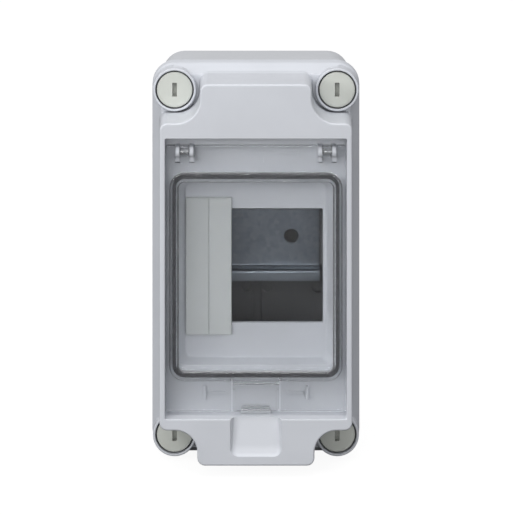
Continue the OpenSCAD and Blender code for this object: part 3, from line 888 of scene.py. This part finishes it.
def latch_look(finish):
    """The sprung tongue with a rib along each side and a hook behind its free end."""
    half = LATCH_W / 2
    low = DOOR_BOTTOM
    high = LATCH_TOP - 0.3
    latch = bar("latch_plate", (-half, half), (LATCH_D, LATCH_D + 1.6), (low, high), 0.2)
    for side in SIDES:
        x = side * (half - 0.62)
        rib_d = (LATCH_D + 0.3, LATCH_D + 2.2)
        add(latch, bar("side_rib", (x - 0.6, x + 0.6), rib_d, (low + 0.3, high - 1.7), 0.2))
    add(latch, bar("hook", (-5.6, 5.6), (LATCH_D - 2.2, LATCH_D + 0.5), (low + 0.02, low + 1.5), 0.2))
    settle(latch, "latch", finish["clear_plastic"], ["latch_tongue"])


# ---------------------------------------------------------------- screws

def screw_look(node, body, finish):
    """A quarter-turn cover screw: a slotted, slightly domed head, a stepped shank and two wings."""
    low, high = box_mm(node)
    x = (low.x + high.x) / 2
    z = (low.z + high.z) / 2
    top = -low.y
    end = -high.y
    neck = JOINT + 2.0
    shank = [(0, end), (2.1, end), (2.4, end + 0.3), (2.4, WING_D), (3.3, WING_D)]
    shank += [(3.6, WING_D + 0.3), (3.6, neck), (2.95, neck), (2.95, neck + 1.0)]
    shank += [(3.6, neck + 1.0), (3.6, top - 2.9)]
    head = [(6.9, top - 2.9), (7.3, top - 2.6), (7.3, top - 0.55), (7.2, top - 0.32), (6.9, top - 0.18)]
    head += [(6.4, top - 0.12), (4.5, top - 0.05), (2.0, top - 0.01), (0, top)]
    screw = turned(node + "_look", x, z, shank + head, 72)
    add(screw, bar("wings", (x - 1.5, x + 1.5), (end + 0.8, WING_D + 0.4), (z - 4.1, z + 4.1), 0.3))
    cut(screw, bar("slot", (x - 0.9, x + 0.9), (top - 2.6, top + 2), (z - 2.8, z + 2.8), 0.12))
    settle(screw, body, finish["screw_plastic"], [node])


# ---------------------------------------------------------------- rail and blanking plate

def bent(path, bend, thick):
    """Both sides of a strip that follows a path of (z, depth), with round bends at its inner points."""
    inner = []
    outer = []
    for i in range(1, len(path) - 1):
        a, b, c = (np.array(p) for p in path[i - 1:i + 2])
        u = (a - b) / np.linalg.norm(a - b)
        v = (c - b) / np.linalg.norm(c - b)
        centre = b + bend * (u + v)
        start = math.atan2(*(-v)[::-1])
        turn = math.atan2(*(-u)[::-1]) - start
        turn = (turn + math.pi) % (2 * math.pi) - math.pi
        left = u[0] * v[1] - u[1] * v[0] > 0
        for t in np.linspace(0, 1, 6):
            ray = np.array((math.cos(start + turn * t), math.sin(start + turn * t)))
            near = centre + (bend - thick / 2) * ray
            far = centre + (bend + thick / 2) * ray
            inner.append(near if left else far)
            outer.append(far if left else near)
    return inner, outer


def prism(name, section, x0, x1):
    """A bar across the box with one section of (z, depth) from end to end."""
    bm = bmesh.new()
    ends = [[bm.verts.new((x, -d, z)) for z, d in section] for x in (x0, x1)]
    for i in range(len(section)):
        k = (i + 1) % len(section)
        bm.faces.new((ends[0][i], ends[0][k], ends[1][k], ends[1][i]))
    bm.faces.new(ends[0])
    bm.faces.new(ends[1])
    return put(name, bm)


def rail_look(finish):
    """The top-hat rail, rolled from strip with rounded bends, and its two fixing holes."""
    back = -RAIL_HIGH.y
    deep = -RAIL_LOW.y
    lip_d = deep - RAIL_T / 2
    web_d = back + RAIL_T / 2
    path = [(RAIL_LIP, lip_d), (RAIL_HALF, lip_d), (RAIL_HALF, web_d)]
    path += [(-z, d) for z, d in reversed(path)]
    front, rear = bent(path, 1.0, RAIL_T)
    upper = [(RAIL_LIP, deep)]
    lower = [(-RAIL_LIP, deep), (-RAIL_LIP, deep - RAIL_T)]
    section = upper + front + lower + rear[::-1] + [(RAIL_LIP, deep - RAIL_T)]
    rail = prism("rail", section, RAIL_LOW.x, RAIL_HIGH.x)
    for side in SIDES:
        hole = disc_outline(3.0, side * RAIL_HOLE_X, 0, 48)
        cut(rail, slab("hole", hole, back - 1, back + RAIL_T, 0, -0.12, 2))
    settle(rail, "enclosure", finish["zinc_steel"], ["din_rail"])


def blank_look(finish):
    """The blanking plate: a softened front with a score line, and the hollow plug with its snap noses."""
    x0 = BLANK_LOW.x
    x1 = BLANK_HIGH.x
    front = -BLANK_LOW.y
    mid = (x0 + x1) / 2
    half = (BLANK_HIGH.z - BLANK_LOW.z) / 2
    outline = frame_outline(x1 - x0, 2 * half, 0.3, mid, 0)
    plate = slab("blank_plate", outline, front - 1.2, front, 0.1, 0.35)
    add(plate, bar("plug", (mid - 7.7, mid + 7.7), (FLOOR - 6.4, front - 1.0), (-22.8, 22.8), 0.2))
    noses = []
    for side in SIDES:
        reach = sorted((side * 22.5, side * 23.8))
        noses.append(bar("nose", (mid - 4, mid + 4), (FLOOR - 4.4, FLOOR - 2.2), reach, 0.2))
    add(plate, join("noses", noses))
    cut(plate, bar("hollow", (mid - 6.5, mid + 6.5), (FLOOR - 8, front - 1.2), (-21.6, 21.6), 0.2))
    cut(plate, bar("score", (mid - 0.12, mid + 0.12), (front - 0.3, front + 1), (-half - 1, half + 1), 0))
    settle(plate, "blank", finish["blank_plastic"], ["blanking_plate"])


# ---------------------------------------------------------------- CAD pieces shown as they are

def dress(node, slot, finish, edge=0.0):
    """Gives a CAD node its finish, and edges softened by this many metres."""
    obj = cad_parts[node]
    weld = obj.modifiers.new("weld", "WELD")
    weld.merge_threshold = 1e-6
    plane = obj.modifiers.new("planar", "DECIMATE")
    plane.decimate_type = "DISSOLVE"
    plane.angle_limit = math.radians(0.5)
    if edge:
        bevel = obj.modifiers.new("edges", "BEVEL")
        bevel.width = edge
        bevel.segments = 2
        bevel.limit_method = "ANGLE"
        bevel.angle_limit = math.radians(50)
    obj.data.materials.clear()
    obj.data.materials.append(finish[slot])


# ---------------------------------------------------------------- stage, light and camera

def sheet(name, corners, material):
    """A flat sheet of the stage."""
    bm = bmesh.new()
    bm.faces.new([bm.verts.new(c) for c in corners])
    obj = put(name, bm)
    obj.data.materials.append(material)


def lamp(name, place, aim, size, power):
    """A rectangular soft light."""
    data = bpy.data.lights.new(name, "AREA")
    data.shape = "RECTANGLE"
    data.size, data.size_y = size
    data.energy = power
    obj = bpy.data.objects.new(name, data)
    bpy.context.scene.collection.objects.link(obj)
    obj.location = place
    obj.rotation_euler = (Vector(aim) - Vector(place)).to_track_quat("-Z", "Y").to_euler()


def stage():
    """A pale floor just under the box, and soft studio light from above and in front.

    Places and sizes of the stage and its lamps are in metres.
    """
    reach = 3
    z = COVER_LOW.z * MM - 0.0005
    corners = [(i * reach, k * reach, z) for i, k in ((-1, -1), (1, -1), (1, 1), (-1, 1))]
    sheet("floor", corners, studio_white("floor_white", 0.93))
    bpy.context.scene.world = bpy.data.worlds.new("studio")
    s = Shader("studio", bpy.context.scene.world)
    white = s.add("ShaderNodeBackground", {"Color": (1, 1, 1, 1)}).outputs[0]
    felt = s.add("ShaderNodeBackground", {"Color": (0.48, 0.48, 0.49, 1)}).outputs[0]
    s.add("ShaderNodeOutputWorld", {"Surface": s.mix(s.seen(), felt, white)})
    middle = (0, -0.04, 0)
    lamp("key", (-0.46, -0.98, 0.62), middle, (0.35, 0.25), 2.6)
    lamp("left", (-0.90, -0.86, 0.35), middle, (0.25, 0.25), 3.6)
    lamp("overhead", (0, -0.30, 1.15), middle, (0.9, 0.5), 4.5)
    lamp("front", (0, -0.75, 0.95), middle, (0.6, 0.3), 1.5)
    lamp("low", (0, -1.2, 0.18), (0, -0.04, -0.05), (0.8, 0.08), 2.7)


def shift_lens(obj, spot, channel, shift):
    """Shifts a camera's lens while it stands on the spot, and not where a tool moves it to.

    The driver's curve runs from the distance to the spot, in metres, to the shift.
    """
    curve = obj.data.driver_add(channel)
    for modifier in list(curve.modifiers):
        curve.modifiers.remove(modifier)
    away = curve.driver.variables.new()
    away.type = "LOC_DIFF"
    away.targets[0].id = obj
    away.targets[1].id = spot
    curve.driver.type = "SUM"
    curve.keyframe_points.add(2)
    for key, place in zip(curve.keyframe_points, ((0, shift), (0.02, 0))):
        key.co = place
        key.interpolation = "LINEAR"
    curve.extrapolation = "CONSTANT"
    curve.update()


def camera():
    """The photograph's view: level, from above the box's middle, with the lens shifted down."""
    data = bpy.data.cameras.new("camera")
    data.lens = 164.46
    data.sensor_width = 36
    data.clip_start = 0.05
    obj = bpy.data.objects.new("camera", data)
    bpy.context.scene.collection.objects.link(obj)
    obj.location = (0, -1.018, 0.2315)
    obj.rotation_euler = (math.pi / 2, 0, 0)
    bpy.context.scene.camera = obj
    spot = bpy.data.objects.new("camera_spot", None)
    bpy.context.scene.collection.objects.link(spot)
    spot.location = obj.location
    shift_lens(obj, spot, "shift_x", 0.0031)
    shift_lens(obj, spot, "shift_y", -1.099)


def main():
    """Builds every piece, dresses the CAD pieces that are shown as they are, and sets the stage."""
    finish = palette()
    base_look(finish)
    cover_look(finish)
    door_look(finish)
    latch_look(finish)
    screws = {"top_left": "tl", "top_right": "tr", "bottom_left": "bl", "bottom_right": "br"}
    for place, short in screws.items():
        screw_look("cover_screw_" + place, "screw_" + short, finish)
    rail_look(finish)
    blank_look(finish)
    dress("base_seal", "seal_foam", finish)
    dress("door_seal", "seal_rubber", finish)
    dress("hinge_pin_left", "clear_plastic", finish, 0.0001)
    dress("hinge_pin_right", "clear_plastic", finish, 0.0001)
    dress("screw_retainers", "washer_plastic", finish, 0.0001)
    dress("rail_screw", "screw_steel", finish, 0.00015)
    dress("terminal_carrier", "carrier_plastic", finish, 0.0002)
    dress("carrier_screws", "screw_steel", finish, 0.0001)
    dress("earth_bar", "brass", finish, 0.0002)
    dress("clamp_screws", "screw_steel", finish, 0.0001)
    stage()
    camera()
    bpy.context.scene.view_settings.view_transform = "Standard"


main()
